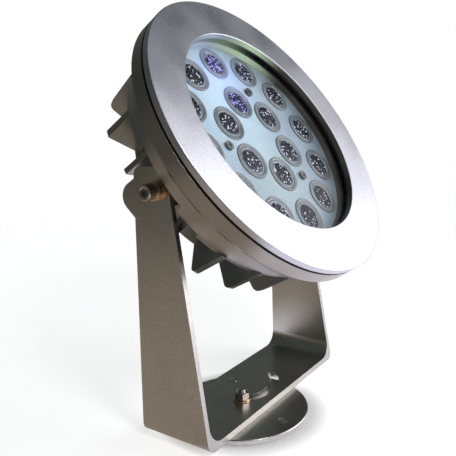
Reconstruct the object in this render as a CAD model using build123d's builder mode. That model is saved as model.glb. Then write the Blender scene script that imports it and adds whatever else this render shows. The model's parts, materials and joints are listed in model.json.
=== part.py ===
from build123d import *
from math import cos, radians, sin
import os

os.makedirs("parts", exist_ok=True)

# Base plate: a round foot with a ring of fixing holes
base_r = 38.5
base_t = 3.0
edge_break = 0.4
fixing_pcd = 59.0
fixing_hole_r = 2.75
fixing_count = 3
fixing_turn = 24.0

# Pan mechanism: a flush pivot pin in the foot and a clamp stud in a curved slot
pan_reach = 25.5
countersink_r = 5.0
countersink_t = 2.46
countersink_gap = 0.04
pan_pin_play = 0.08
pan_washer_r = 5.0
pan_washer_t = 1.0
pan_nut_flats = 8.0
pan_nut_t = 4.0
pan_stud_end = 1.4
pan_bearing = 45.0
pan_x = pan_reach * cos(radians(pan_bearing))
pan_y = pan_reach * sin(radians(pan_bearing))
pan_slot_w = 5.6
pan_slot_start = -135.0
pan_slot_sweep = 96.0

# Yoke: one bent strip, straight at the back, tapered at the front
yoke_x = 17.5
yoke_y = 6.5
yoke_w = 140.0
yoke_t = 3.0
yoke_depth = 44.4
yoke_taper = 0.158
yoke_h = 144.2
bend_inner_r = 9.0
bend_outer_r = 5.0
ear_reach = 36.0
ear_z = 128.7
ear_tip_r = 8.0
top_front_r = 9.5
top_back_r = 5.0
ear_low = 116.6
ear_high = 137.5

# Tilt axis, measured from the yoke's own corner
tilt_y = 4.3
tilt_z = 132.5
tilt_hole_r = 2.56

# What each tilt screw carries, from the arm outward
collar_t = 2.6
collar_r = 5.2
washer_t = 1.0
washer_r = 5.0
spring_t = 1.3
spring_r = 4.6
tilt_head_r = 4.25
tilt_head_t = 5.0
tilt_socket = 4.0
tilt_socket_depth = 2.6
tilt_screw_end = 55.4
tilt_pad_r = 8.0

# Lamp head: aim and the way its axis sits off the tilt axis
aim = 33.8
head_forward = 38.8
head_lift = 9.4

# Screws: threads are plain and sit in holes a little larger
thread_gap = 0.02
pass_gap = 0.2
m5_r = 2.5
m5_hole_r = m5_r + thread_gap
m4_r = 2.0
m4_head_r = 3.5
m4_head_t = 4.0
m3_r = 1.5
m3_head_r = 2.75
spacer_r = 3.0
cross_head_r = 2.8
cross_head_t = 1.7
cross_l = 3.2
cross_w = 0.7

# Bezel, gaskets and window
face_r = 90.0
opening_r = 65.4
bezel_t = 3.5
skirt_outer_r = 77.8
skirt_inner_r = 74.2
skirt_depth = 9.4
gasket_t = 1.5
glass_r = 71.0
glass_t = 4.0
glass_seat_t = 1.0
glass_gap = 0.3
bezel_edge_r = 0.6
skirt_gap = 0.1

# Drum: flange, chamfer and cone
drum_front = bezel_t + gasket_t
drum_land = 13.0
drum_chamfer_end = 16.7
drum_chamfer_r = 86.4
drum_rear = 32.4
drum_rear_r = 78.3
wall_r = 66.5
ledge_depth = 21.9
ledge_r = 58.0
sink_screw_ring_r = 65.0
sink_screw_depth = 8.5

# Heat sink
core_r = 54.9
cavity_r = 45.0
cavity_front = 27.0
core_rear = 59.6
plug_r = 57.8
sink_flange_r = 76.0
sink_flange_rear = 36.4
seal_inner_r = 59.0
seal_outer_r = 62.0
seal_t = 2.0
seal_gap = 0.2
fin_count = 20
fin_first = 7.0
fin_t = 3.0
fin_root_r = 53.5
fin_front_r = 79.2
fin_rear_r = 76.3
fin_rear_depth = 57.5
fin_side = 65.4
fin_tip_r = 4.5
lug_start = 50.0
lug_side = 65.9
lug_r = 9.5

# Side pockets that let the yoke's arm ends pass the drum
pocket_side = 65.8
pocket_front = 26.0
pocket_low = -25.0
pocket_high = 10.0

# Driver bay, rear cover and cable gland
driver_r = 38.0
driver_depth = 38.0
driver_board_t = 1.6
cover_r = 52.2
cover_seat_r = 52.5
cover_front = 56.0
cover_gasket_t = 1.0
cover_seat_depth = cover_front - cover_gasket_t
cover_screw_ring_r = 48.8
cover_head_t = 2.6
gland_bore_r = 4.0
gland_pass_r = 4.6
gland_thread_r = 8.0
gland_end = 51.0
gland_flats = 22.0
gland_flange_t = 4.5
gland_nut_t = 6.8
gland_dome_r = 10.6
gland_dome_t = 3.5

# Lamp cluster
inner_ring_r = 25.0
outer_ring_r = 53.1
cluster_turn = 93.4
plate_depth = 13.5
plate_t = 1.2
plate_r = 66.2
board_depth = 19.8
board_t = 1.6
board_r = 65.8
pad_t = 0.5
pad_r = 57.0
chip_w = 5.0
chip_t = 0.8
holder_flange_r = 11.3
holder_flange_t = 0.8
holder_r = 10.4
holder_bore_r = 9.0
holder_floor = 18.2
lens_front_r = 8.9
lens_rear_r = 4.4
lens_lift = 0.4
plate_screw_r = 35.0
plate_screw_turn = 65.0
wire_hole_r = 3.5

tilt_rad = radians(aim)
aim_y = -cos(tilt_rad)
aim_z = sin(tilt_rad)
axis_x = yoke_x
axis_y = yoke_y + tilt_y
axis_z = base_t + tilt_z
face_x = axis_x
face_y = axis_y + head_forward * aim_y + head_lift * aim_z
face_z = axis_z + head_forward * aim_z - head_lift * aim_y
head = Plane(origin=(face_x, face_y, face_z), x_dir=(1, 0, 0), z_dir=(0, aim_y, aim_z))
head_axis = Axis((face_x, face_y, face_z), (0, aim_y, aim_z))
back_dir = (0, -aim_y, -aim_z)
section = Plane(origin=(face_x, face_y, face_z), x_dir=(1, 0, 0), z_dir=(0, -aim_z, aim_y))
yoke_side = Plane(origin=(yoke_x, yoke_y, base_t), x_dir=(0, 1, 0), z_dir=(1, 0, 0))
yoke_front = Plane(origin=(yoke_x, yoke_y, base_t), x_dir=(1, 0, 0), z_dir=(0, -1, 0))


def at(depth):
    """Plane square to the head's axis, this far behind the bezel's face."""
    return head.offset(-depth)


def radial(angle):
    """Plane that holds the head's axis and points out at this angle."""
    c = cos(radians(angle))
    s = sin(radians(angle))
    out = Vector(c, s * aim_z, -s * aim_y)
    return Plane(origin=(face_x, face_y, face_z), x_dir=out, z_dir=out.cross(head.z_dir))


def beside(side, reach):
    """Plane across the tilt axis on one side, with depth along its first axis."""
    origin = (axis_x + side * reach, face_y, face_z)
    return Plane(origin=origin, x_dir=back_dir, z_dir=(side, 0, 0))


def side_block(reach, front, rear, low, high, mode=Mode.SUBTRACT):
    """Blocks on both sides of the head, from a reach outward, by depth and height."""
    for s in (-1, 1):
        with BuildSketch(beside(s, reach)) as block:
            with Locations(((front + rear) / 2, s * (low + high) / 2)):
                Rectangle(rear - front, high - low)
        extrude(block.sketch, amount=40, mode=mode)


def disc(plane, radius, thick, spots=((0, 0),), mode=Mode.ADD):
    """Round plugs of one size, going down from a plane."""
    with BuildSketch(plane) as plug:
        with Locations(*spots):
            Circle(radius)
    extrude(plug.sketch, amount=-thick, mode=mode)


def ring(plane, outer, inner, thick, spots=((0, 0),), mode=Mode.ADD):
    """Flat rings of one size, going down from a plane."""
    with BuildSketch(plane) as washer:
        with Locations(*spots):
            Circle(outer)
        with Locations(*spots):
            Circle(inner, mode=Mode.SUBTRACT)
    extrude(washer.sketch, amount=-thick, mode=mode)


def around(radius, count, first):
    """Points evenly spaced on a circle."""
    points = []
    for k in range(count):
        a = radians(first + 360.0 * k / count)
        points.append((radius * cos(a), radius * sin(a)))
    return points


def turned(profile):
    """Solid of revolution about the head's axis from radius and depth pairs."""
    with BuildSketch(section) as half:
        with BuildLine():
            Polyline(*[(r, -d) for r, d in profile], close=True)
        make_face()
    revolve(half.sketch, axis=head_axis)


def side_axle(start, end, radius, inner=0.0, mode=Mode.ADD):
    """Plugs along the tilt axis on both sides of the head, from start to end."""
    for s in (-1, 1):
        plane = Plane(origin=(axis_x + s * start, axis_y, axis_z), x_dir=(0, 1, 0), z_dir=(s, 0, 0))
        with BuildSketch(plane) as plug:
            Circle(radius)
            if inner > 0:
                Circle(inner, mode=Mode.SUBTRACT)
        extrude(plug.sketch, amount=end - start, mode=mode)


def hex_socket(start, across, depth):
    """Hexagon sockets sunk into both ends of the tilt axis."""
    for s in (-1, 1):
        plane = Plane(origin=(axis_x + s * start, axis_y, axis_z), x_dir=(0, 1, 0), z_dir=(s, 0, 0))
        with BuildSketch(plane) as socket:
            RegularPolygon(across / 2, 6, major_radius=False)
        extrude(socket.sketch, amount=-depth, mode=Mode.SUBTRACT)


lamp_spots = around(inner_ring_r, 6, cluster_turn) + around(outer_ring_r, 12, cluster_turn)
plate_screw_spots = around(plate_screw_r, 3, plate_screw_turn)
sink_screw_spots = [p for k in (2, 4, 6, 12, 14, 16) for p in around(sink_screw_ring_r, 1, 16.0 + 18.0 * k)]
cover_screw_spots = around(cover_screw_ring_r, 6, 30.0)
driver_spots = around(32.0, 4, 45.0)
fixing_spots = around(fixing_pcd / 2, fixing_count, fixing_turn)
pan_spots = [(0, 0), (pan_x, pan_y)]

# ---------------------------------------------------------------- foot and yoke

with BuildPart() as base_plate:
    with BuildSketch(Plane.XY):
        Circle(base_r)
    extrude(amount=base_t)
    chamfer(base_plate.edges(), edge_break)
    disc(Plane.XY, fixing_hole_r, -base_t, fixing_spots, mode=Mode.SUBTRACT)
    disc(Plane.XY, m5_hole_r, -base_t, pan_spots, mode=Mode.SUBTRACT)
    for x, y in pan_spots:
        with BuildSketch(Plane(origin=(x, y, 0))):
            Circle(countersink_r)
        with BuildSketch(Plane(origin=(x, y, countersink_t + thread_gap))):
            Circle(m5_hole_r)
        loft(mode=Mode.SUBTRACT)
base_plate.part.label = "base_plate"
export_step(base_plate.part, "parts/base_plate.step")

yoke_top = base_t + yoke_t
pan_stud_top = yoke_top + pan_washer_t + pan_nut_t + pan_stud_end

with BuildPart() as pan_pivot:
    disc(Plane.XY, m5_r, -yoke_top, [(pan_x, pan_y)])
    with BuildSketch(Plane(origin=(pan_x, pan_y, 0))):
        Circle(countersink_r - countersink_gap)
    with BuildSketch(Plane(origin=(pan_x, pan_y, countersink_t))):
        Circle(m5_r)
    loft()
    chamfer(pan_pivot.faces().sort_by(Axis.Z)[-1].edges(), 0.3)
pan_pivot.part.label = "pan_pivot"
export_step(pan_pivot.part, "parts/pan_pivot.step")

with BuildPart() as pan_stud:
    disc(Plane.XY, m5_r, -pan_stud_top)
    with BuildSketch(Plane.XY):
        Circle(countersink_r - countersink_gap)
    with BuildSketch(Plane.XY.offset(countersink_t)):
        Circle(m5_r)
    loft()
    chamfer(pan_stud.faces().sort_by(Axis.Z)[-1].edges(), 0.5)
pan_stud.part.label = "pan_stud"
export_step(pan_stud.part, "parts/pan_stud.step")

with BuildPart() as pan_washer:
    ring(Plane.XY.offset(yoke_top), pan_washer_r, m5_r + 0.1, -pan_washer_t)
pan_washer.part.label = "pan_washer"
export_step(pan_washer.part, "parts/pan_washer.step")

with BuildPart() as pan_nut:
    with BuildSketch(Plane.XY.offset(yoke_top + pan_washer_t)):
        RegularPolygon(pan_nut_flats / 2, 6, major_radius=False)
        Circle(m5_hole_r, mode=Mode.SUBTRACT)
    extrude(amount=pan_nut_t)
pan_nut.part.label = "pan_nut"
export_step(pan_nut.part, "parts/pan_nut.step")

with BuildPart() as yoke:
    with BuildSketch(yoke_front):
        with BuildLine():
            outer = FilletPolyline(
                (-yoke_w / 2, yoke_h + 5),
                (-yoke_w / 2, 0),
                (yoke_w / 2, 0),
                (yoke_w / 2, yoke_h + 5),
                radius=bend_outer_r,
            )
            inner = FilletPolyline(
                (-yoke_w / 2 + yoke_t, yoke_h + 5),
                (-yoke_w / 2 + yoke_t, yoke_t),
                (yoke_w / 2 - yoke_t, yoke_t),
                (yoke_w / 2 - yoke_t, yoke_h + 5),
                radius=bend_inner_r,
            )
            Line(outer @ 0, inner @ 0)
            Line(outer @ 1, inner @ 1)
        make_face()
    extrude(amount=40, both=True)
    with BuildSketch(yoke_side) as flank:
        with BuildLine():
            Polyline(
                (yoke_depth / 2, 0),
                (yoke_depth / 2, ear_low),
                (ear_reach, ear_z),
                (yoke_depth / 2, ear_high),
                (yoke_depth / 2, yoke_h),
                (-yoke_depth / 2 + yoke_taper * yoke_h, yoke_h),
                (-yoke_depth / 2, 0),
                close=True,
            )
        make_face()
        fillet(flank.vertices().sort_by(Axis.X)[-1], ear_tip_r)
        fillet(flank.vertices().group_by(Axis.Y)[-1].sort_by(Axis.X)[0], top_front_r)
        fillet(flank.vertices().group_by(Axis.Y)[-1].sort_by(Axis.X)[-1], top_back_r)
    extrude(amount=100, both=True, mode=Mode.INTERSECT)
    with BuildSketch(Plane.XY.offset(base_t)):
        with Locations((pan_x, pan_y)):
            Circle(m5_r + pan_pin_play)
        SlotArc(
            CenterArc((pan_x, pan_y), pan_reach, pan_slot_start, pan_slot_sweep, mode=Mode.PRIVATE),
            pan_slot_w,
        )
    extrude(amount=yoke_t, mode=Mode.SUBTRACT)
    side_axle(60, 80, tilt_hole_r, mode=Mode.SUBTRACT)
yoke.part.label = "yoke"
export_step(yoke.part, "parts/yoke.step")

# ------------------------------------------------------------ tilt joint hardware

arm_out = yoke_w / 2
arm_in = yoke_w / 2 - yoke_t
washer_a = arm_out + collar_t
spring_a = washer_a + washer_t
washer_b = spring_a + spring_t
spring_b = washer_b + washer_t
bolt_seat = spring_b + spring_t
bolt_end = bolt_seat + tilt_head_t

with BuildPart() as tilt_bolts:
    side_axle(tilt_screw_end, bolt_seat, m5_r)
    side_axle(bolt_seat, bolt_end, tilt_head_r)
    chamfer(tilt_bolts.edges().group_by(Axis.X)[0], edge_break)
    chamfer(tilt_bolts.edges().group_by(Axis.X)[-1], edge_break)
    hex_socket(bolt_end, tilt_socket, tilt_socket_depth)
tilt_bolts.part.label = "tilt_bolts"
export_step(tilt_bolts.part, "parts/tilt_bolts.step")

with BuildPart() as tilt_collars:
    side_axle(arm_out, washer_a, collar_r, m5_r + 0.05)
tilt_collars.part.label = "tilt_collars"
export_step(tilt_collars.part, "parts/tilt_collars.step")

with BuildPart() as tilt_washers:
    side_axle(washer_a, spring_a, washer_r, m5_r + 0.15)
    side_axle(washer_b, spring_b, washer_r, m5_r + 0.15)
tilt_washers.part.label = "tilt_washers"
export_step(tilt_washers.part, "parts/tilt_washers.step")

with BuildPart() as tilt_spring_washers:
    side_axle(spring_a, washer_b, spring_r, m5_r + 0.1)
    side_axle(spring_b, bolt_seat, spring_r, m5_r + 0.1)
tilt_spring_washers.part.label = "tilt_spring_washers"
export_step(tilt_spring_washers.part, "parts/tilt_spring_washers.step")

with BuildPart() as tilt_pads:
    side_axle(lug_side, arm_in - 0.05, tilt_pad_r, m5_r + 0.1)
tilt_pads.part.label = "tilt_pads"
export_step(tilt_pads.part, "parts/tilt_pads.step")

# --------------------------------------------------------------- lamp body

with BuildPart() as lamp_body:
    turned(
        [
            (face_r, drum_front),
            (face_r, drum_land),
            (drum_chamfer_r, drum_chamfer_end),
            (drum_rear_r, drum_rear),
            (ledge_r, drum_rear),
            (ledge_r, ledge_depth),
            (wall_r, ledge_depth),
            (wall_r, drum_front + glass_t + glass_seat_t),
            (glass_r + glass_gap, drum_front + glass_t + glass_seat_t),
            (glass_r + glass_gap, drum_front),
            (skirt_inner_r - skirt_gap, drum_front),
            (skirt_inner_r - skirt_gap, skirt_depth + skirt_gap),
            (skirt_outer_r + skirt_gap, skirt_depth + skirt_gap),
            (skirt_outer_r + skirt_gap, drum_front),
        ]
    )
    side_block(pocket_side, pocket_front, drum_rear + 5, pocket_low, pocket_high)
    disc(at(drum_rear), m4_r + thread_gap, -sink_screw_depth, sink_screw_spots, mode=Mode.SUBTRACT)
lamp_body.part.label = "lamp_body"
export_step(lamp_body.part, "parts/lamp_body.step")

with BuildPart() as bezel:
    ring(head, face_r, opening_r, bezel_t)
    fillet(bezel.faces().sort_by(head_axis)[-1].edges(), bezel_edge_r)
    ring(at(bezel_t), skirt_outer_r, skirt_inner_r, skirt_depth - bezel_t)
bezel.part.label = "bezel"
export_step(bezel.part, "parts/bezel.step")

with BuildPart() as bezel_gasket:
    ring(at(bezel_t), 88.6, skirt_outer_r + 0.3, gasket_t)
bezel_gasket.part.label = "bezel_gasket"
export_step(bezel_gasket.part, "parts/bezel_gasket.step")

with BuildPart() as glass_gasket_front:
    ring(at(bezel_t), skirt_inner_r - 0.4, 65.9, gasket_t)
glass_gasket_front.part.label = "glass_gasket_front"
export_step(glass_gasket_front.part, "parts/glass_gasket_front.step")

with BuildPart() as glass:
    disc(at(drum_front), glass_r, glass_t)
glass.part.label = "glass"
export_step(glass.part, "parts/glass.step")

with BuildPart() as glass_gasket_rear:
    ring(at(drum_front + glass_t), glass_r, wall_r + 0.2, glass_seat_t)
glass_gasket_rear.part.label = "glass_gasket_rear"
export_step(glass_gasket_rear.part, "parts/glass_gasket_rear.step")

# --------------------------------------------------------------- heat sink

with BuildPart() as heat_sink:
    for k in range(fin_count):
        with BuildSketch(radial(fin_first + 18.0 * k)) as fin:
            with BuildLine():
                Polyline(
                    (fin_root_r, -drum_rear - 2.0),
                    (fin_front_r, -drum_rear - 0.2),
                    (fin_rear_r, -fin_rear_depth),
                    (fin_root_r, -core_rear),
                    close=True,
                )
            make_face()
            fillet(fin.vertices().sort_by(Axis.Y)[1], fin_tip_r)
        extrude(amount=fin_t / 2, both=True)
    disc(at(ledge_depth), plug_r, sink_flange_rear - ledge_depth)
    disc(at(drum_rear), sink_flange_r, sink_flange_rear - drum_rear)
    disc(at(drum_rear), core_r, core_rear - drum_rear)
    disc(at(cavity_front), cavity_r, core_rear, mode=Mode.SUBTRACT)
    disc(at(cover_seat_depth), cover_seat_r, core_rear, mode=Mode.SUBTRACT)
    side_block(fin_side, drum_rear - 1, core_rear + 1, -90, 90)
    side_axle(lug_start, lug_side, lug_r)
    ring(at(ledge_depth), face_r, plug_r, drum_rear - ledge_depth, mode=Mode.SUBTRACT)
    ring(at(drum_rear), seal_outer_r + seal_gap, seal_inner_r - seal_gap, seal_t, mode=Mode.SUBTRACT)
    side_axle(tilt_screw_end - 0.5, lug_side, m5_hole_r, mode=Mode.SUBTRACT)
    disc(at(drum_rear), m4_r + pass_gap, 5.0, sink_screw_spots, mode=Mode.SUBTRACT)
    disc(at(ledge_depth), m3_r + thread_gap, 4.0, plate_screw_spots, mode=Mode.SUBTRACT)
    disc(at(ledge_depth), wire_hole_r, 6.0, mode=Mode.SUBTRACT)
    disc(at(cover_seat_depth), m3_r + thread_gap, -8.0, cover_screw_spots, mode=Mode.SUBTRACT)
    disc(at(cavity_front), m3_r + thread_gap, -3.0, driver_spots, mode=Mode.SUBTRACT)
heat_sink.part.label = "heat_sink"
export_step(heat_sink.part, "parts/heat_sink.step")

with BuildPart() as body_seal:
    ring(at(drum_rear), seal_outer_r, seal_inner_r, seal_t)
body_seal.part.label = "body_seal"
export_step(body_seal.part, "parts/body_seal.step")

with BuildPart() as heat_sink_screws:
    disc(at(sink_flange_rear), m4_r, -11.0, sink_screw_spots)
    disc(at(sink_flange_rear), m4_head_r, m4_head_t, sink_screw_spots)
    disc(at(sink_flange_rear + m4_head_t), 1.7, -2.2, sink_screw_spots, mode=Mode.SUBTRACT)
heat_sink_screws.part.label = "heat_sink_screws"
export_step(heat_sink_screws.part, "parts/heat_sink_screws.step")

# --------------------------------------------------------------- lamp cluster

board_back = ledge_depth - pad_t

with BuildPart() as thermal_pad:
    disc(at(board_back), pad_r, pad_t)
    disc(at(board_back), m3_r + 0.3, pad_t, plate_screw_spots, mode=Mode.SUBTRACT)
    disc(at(board_back), wire_hole_r, pad_t, mode=Mode.SUBTRACT)
thermal_pad.part.label = "thermal_pad"
export_step(thermal_pad.part, "parts/thermal_pad.step")

with BuildPart() as led_board:
    disc(at(board_depth), board_r, board_t)
    disc(at(board_depth), m3_r + pass_gap, board_t, plate_screw_spots, mode=Mode.SUBTRACT)
led_board.part.label = "led_board"
export_step(led_board.part, "parts/led_board.step")

with BuildPart() as led_emitters:
    with BuildSketch(at(board_depth)):
        with Locations(*lamp_spots):
            Rectangle(chip_w, chip_w)
    extrude(amount=chip_t)
    disc(at(board_depth - chip_t), 1.9, -1.0, lamp_spots)
led_emitters.part.label = "led_emitters"
export_step(led_emitters.part, "parts/led_emitters.step")

with BuildPart() as lens_holders:
    ring(at(plate_depth - holder_flange_t), holder_flange_r, holder_bore_r, holder_flange_t, lamp_spots)
    ring(at(plate_depth), holder_r, holder_bore_r, board_depth - plate_depth, lamp_spots)
    ring(at(holder_floor), holder_bore_r + 0.2, lens_rear_r - 0.5, board_depth - holder_floor, lamp_spots)
lens_holders.part.label = "lens_holders"
export_step(lens_holders.part, "parts/lens_holders.step")

with BuildPart() as lenses:
    for x, y in lamp_spots:
        with BuildSketch(at(plate_depth - lens_lift)):
            with Locations((x, y)):
                Circle(lens_front_r)
        with BuildSketch(at(holder_floor)):
            with Locations((x, y)):
                Circle(lens_rear_r)
        loft()
    disc(at(holder_floor), chip_w / 2 + 0.1, -1.6, lamp_spots, mode=Mode.SUBTRACT)
lenses.part.label = "lenses"
export_step(lenses.part, "parts/lenses.step")

with BuildPart() as cover_plate:
    disc(at(plate_depth), plate_r, plate_t)
    disc(at(plate_depth), holder_r + 0.2, plate_t, lamp_spots, mode=Mode.SUBTRACT)
    disc(at(plate_depth), m3_r + pass_gap, plate_t, plate_screw_spots, mode=Mode.SUBTRACT)
cover_plate.part.label = "cover_plate"
export_step(cover_plate.part, "parts/cover_plate.step")

spacer_front = plate_depth + plate_t

with BuildPart() as plate_spacers:
    ring(at(spacer_front), spacer_r, m3_r + 0.1, board_depth - spacer_front, plate_screw_spots)
plate_spacers.part.label = "plate_spacers"
export_step(plate_spacers.part, "parts/plate_spacers.step")

with BuildPart() as plate_screws:
    disc(at(plate_depth), m3_r, 11.9, plate_screw_spots)
    disc(at(plate_depth - cross_head_t), cross_head_r, cross_head_t, plate_screw_spots)
    with BuildSketch(at(plate_depth - cross_head_t)):
        with Locations(*plate_screw_spots):
            Rectangle(cross_l, cross_w)
            Rectangle(cross_w, cross_l)
    extrude(amount=-1.0, mode=Mode.SUBTRACT)
plate_screws.part.label = "plate_screws"
export_step(plate_screws.part, "parts/plate_screws.step")

# --------------------------------------------------------------- driver bay

driver_back = driver_depth + driver_board_t

with BuildPart() as driver_standoffs:
    ring(at(cavity_front), spacer_r, m3_r + 0.1, driver_depth - cavity_front, driver_spots)
driver_standoffs.part.label = "driver_standoffs"
export_step(driver_standoffs.part, "parts/driver_standoffs.step")

with BuildPart() as driver_board:
    disc(at(driver_depth), driver_r, driver_board_t)
    disc(at(driver_depth), m3_r + pass_gap, driver_board_t, driver_spots, mode=Mode.SUBTRACT)
driver_board.part.label = "driver_board"
export_step(driver_board.part, "parts/driver_board.step")

with BuildPart() as driver_screws:
    disc(at(driver_back), m3_r, -(driver_back - cavity_front + 2.8), driver_spots)
    disc(at(driver_back), cross_head_r, cross_head_t, driver_spots)
    disc(at(driver_back + cross_head_t), 1.2, -1.2, driver_spots, mode=Mode.SUBTRACT)
driver_screws.part.label = "driver_screws"
export_step(driver_screws.part, "parts/driver_screws.step")

with BuildPart() as driver_parts:
    ring(at(driver_back), 9.0, 4.0, 8.0, [(-11, 9)])
    disc(at(driver_back), 4.0, 9.5, [(11, 12), (20, 5), (11, 2)])
    with BuildSketch(at(driver_back)):
        with Locations((-13, -12)):
            Rectangle(12, 7)
        with Locations((8, -13)):
            Rectangle(16, 10)
    extrude(amount=-4.5)
driver_parts.part.label = "driver_parts"
export_step(driver_parts.part, "parts/driver_parts.step")

with BuildPart() as led_wires:
    disc(at(board_back), 0.9, driver_depth - board_back, [(-1.6, 0), (1.6, 0)])
led_wires.part.label = "led_wires"
export_step(led_wires.part, "parts/led_wires.step")

with BuildPart() as cover_gasket:
    ring(at(cover_seat_depth), cover_r + 0.1, cavity_r + 0.2, cover_gasket_t)
    disc(at(cover_seat_depth), m3_r + pass_gap, cover_gasket_t, cover_screw_spots, mode=Mode.SUBTRACT)
cover_gasket.part.label = "cover_gasket"
export_step(cover_gasket.part, "parts/cover_gasket.step")

with BuildPart() as rear_cover:
    disc(at(cover_front), cover_r, core_rear - cover_front)
    chamfer(rear_cover.faces().sort_by(head_axis)[0].edges(), 0.5)
    disc(at(cover_front), gland_thread_r + 0.05, 5.0, mode=Mode.SUBTRACT)
    disc(at(cover_front), m3_r + pass_gap, 5.0, cover_screw_spots, mode=Mode.SUBTRACT)
rear_cover.part.label = "rear_cover"
export_step(rear_cover.part, "parts/rear_cover.step")

with BuildPart() as cover_screws:
    disc(at(core_rear), m3_r, -12.0, cover_screw_spots)
    disc(at(core_rear), m3_head_r, cover_head_t, cover_screw_spots)
    disc(at(core_rear + cover_head_t), 1.25, -1.5, cover_screw_spots, mode=Mode.SUBTRACT)
cover_screws.part.label = "cover_screws"
export_step(cover_screws.part, "parts/cover_screws.step")

with BuildPart() as gland_locknut:
    with BuildSketch(at(cover_front)):
        RegularPolygon(gland_flats / 2, 6, major_radius=False)
        Circle(gland_thread_r + thread_gap, mode=Mode.SUBTRACT)
    extrude(amount=4.0)
gland_locknut.part.label = "gland_locknut"
export_step(gland_locknut.part, "parts/gland_locknut.step")

with BuildPart() as gland_body:
    disc(at(gland_end), gland_thread_r, core_rear - gland_end)
    with BuildSketch(at(core_rear)):
        RegularPolygon(gland_flats / 2, 6, major_radius=False)
    extrude(amount=-gland_flange_t)
    disc(at(core_rear + gland_flange_t), gland_thread_r + 0.4, 6.5)
    disc(at(gland_end), gland_pass_r, 25.0, mode=Mode.SUBTRACT)
    disc(at(core_rear + 6.0), 6.4, 6.0, mode=Mode.SUBTRACT)
gland_body.part.label = "gland_body"
export_step(gland_body.part, "parts/gland_body.step")

with BuildPart() as gland_seal:
    ring(at(core_rear + 6.0), 6.35, gland_bore_r, 5.4)
gland_seal.part.label = "gland_seal"
export_step(gland_seal.part, "parts/gland_seal.step")

with BuildPart() as gland_nut:
    with BuildSketch(at(core_rear + gland_flange_t + 0.2)):
        RegularPolygon(gland_flats / 2, 6, major_radius=False)
    extrude(amount=-gland_nut_t)
    disc(at(core_rear + gland_flange_t + 0.2 + gland_nut_t), gland_dome_r, gland_dome_t)
    fillet(gland_nut.faces().sort_by(head_axis)[0].edges(), 2.0)
    disc(at(core_rear), gland_thread_r + 0.45, 11.4, mode=Mode.SUBTRACT)
    disc(at(core_rear), gland_pass_r, 19.0, mode=Mode.SUBTRACT)
gland_nut.part.label = "gland_nut"
export_step(gland_nut.part, "parts/gland_nut.step")
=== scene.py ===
import json
from math import cos, pi, radians, sin, sqrt, tau

import bmesh
import bpy
from mathutils import Matrix, Vector


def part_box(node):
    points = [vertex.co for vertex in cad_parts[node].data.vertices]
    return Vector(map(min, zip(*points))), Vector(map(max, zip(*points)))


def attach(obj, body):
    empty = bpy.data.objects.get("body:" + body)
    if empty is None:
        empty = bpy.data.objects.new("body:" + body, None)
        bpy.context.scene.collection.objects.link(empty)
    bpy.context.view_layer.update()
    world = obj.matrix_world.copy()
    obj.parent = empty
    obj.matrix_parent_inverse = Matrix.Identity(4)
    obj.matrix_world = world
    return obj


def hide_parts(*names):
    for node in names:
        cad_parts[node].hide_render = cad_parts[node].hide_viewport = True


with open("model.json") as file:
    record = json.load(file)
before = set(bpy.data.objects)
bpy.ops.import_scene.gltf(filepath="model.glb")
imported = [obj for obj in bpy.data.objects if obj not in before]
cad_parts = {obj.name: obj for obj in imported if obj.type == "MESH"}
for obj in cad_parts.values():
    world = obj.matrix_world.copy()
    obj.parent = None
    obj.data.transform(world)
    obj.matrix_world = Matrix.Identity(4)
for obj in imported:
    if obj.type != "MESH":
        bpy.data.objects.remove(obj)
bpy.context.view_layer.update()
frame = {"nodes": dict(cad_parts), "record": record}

MM = 0.001
NODES = frame["nodes"]
RECORD = frame["record"]
MOUNTS = {mount["name"]: mount for mount in RECORD["mounts"]}
JOINTS = {joint["name"]: joint for joint in RECORD["behaviour"]["joints"]}


# ------------------------------------------------------------------ places

def middle(node):
    """Centre of a CAD node's box."""
    low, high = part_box(node)
    return (Vector(low) + Vector(high)) / 2


# The head's own axes: x along the tilt bolts, up across the face, out of the face
OUT = -Vector(MOUNTS["cable_gland"]["axis"]).normalized()
SIDE = Vector((1, 0, 0))
UP = OUT.cross(SIDE)
# Millimetres from the middle of the window's thickness out to the face's plane
GLASS_MIDDLE_DEPTH = 7.0
FACE = middle("glass") + OUT * GLASS_MIDDLE_DEPTH * MM
HEAD = Matrix((
    (SIDE.x, UP.x, OUT.x, FACE.x),
    (SIDE.y, UP.y, OUT.y, FACE.y),
    (SIDE.z, UP.z, OUT.z, FACE.z),
    (0, 0, 0, 1),
))
TILT = Vector(JOINTS["head_tilt"]["pos_m"])


def axle_frame(side):
    """Axes with z along the tilt bolt on one side of the head, away from the lamp."""
    return Matrix.Translation(TILT) @ Matrix.Rotation(side * pi / 2, 4, "Y")


def solids(node, axes):
    """Lowest and highest corner of each separate solid of a node, in millimetres in these axes."""
    mesh = NODES[node].data
    inverse = axes.inverted()
    places = [inverse @ v.co / MM for v in mesh.vertices]
    keys = [tuple(round(c, 2) for c in place) for place in places]
    parent = {key: key for key in keys}

    def root(key):
        while parent[key] != key:
            parent[key] = parent[parent[key]]
            key = parent[key]
        return key

    for polygon in mesh.polygons:
        first = root(keys[polygon.vertices[0]])
        for index in polygon.vertices[1:]:
            parent[root(keys[index])] = first
    groups = {}
    for key, place in zip(keys, places):
        groups.setdefault(root(key), []).append(place)
    corners = []
    for group in groups.values():
        low = Vector(min(p[i] for p in group) for i in range(3))
        high = Vector(max(p[i] for p in group) for i in range(3))
        corners.append((low, high))
    corners.sort(key=lambda pair: tuple(pair[0]))
    return corners


# --------------------------------------------------------------- materials

# Part of a noise's range that holds nearly all its values
NOISE_RANGE = (0.3, 0.7)

# Scales of the slow patches on metal and on everything else, in patches per metre
METAL_PATCH = 28.0
PLAIN_PATCH = 60.0

# Turning lines in the bores: spacing in metres, and how dark the lines are
LINE_SPACING = 0.0005
LINE_SHADE = 0.35

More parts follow.
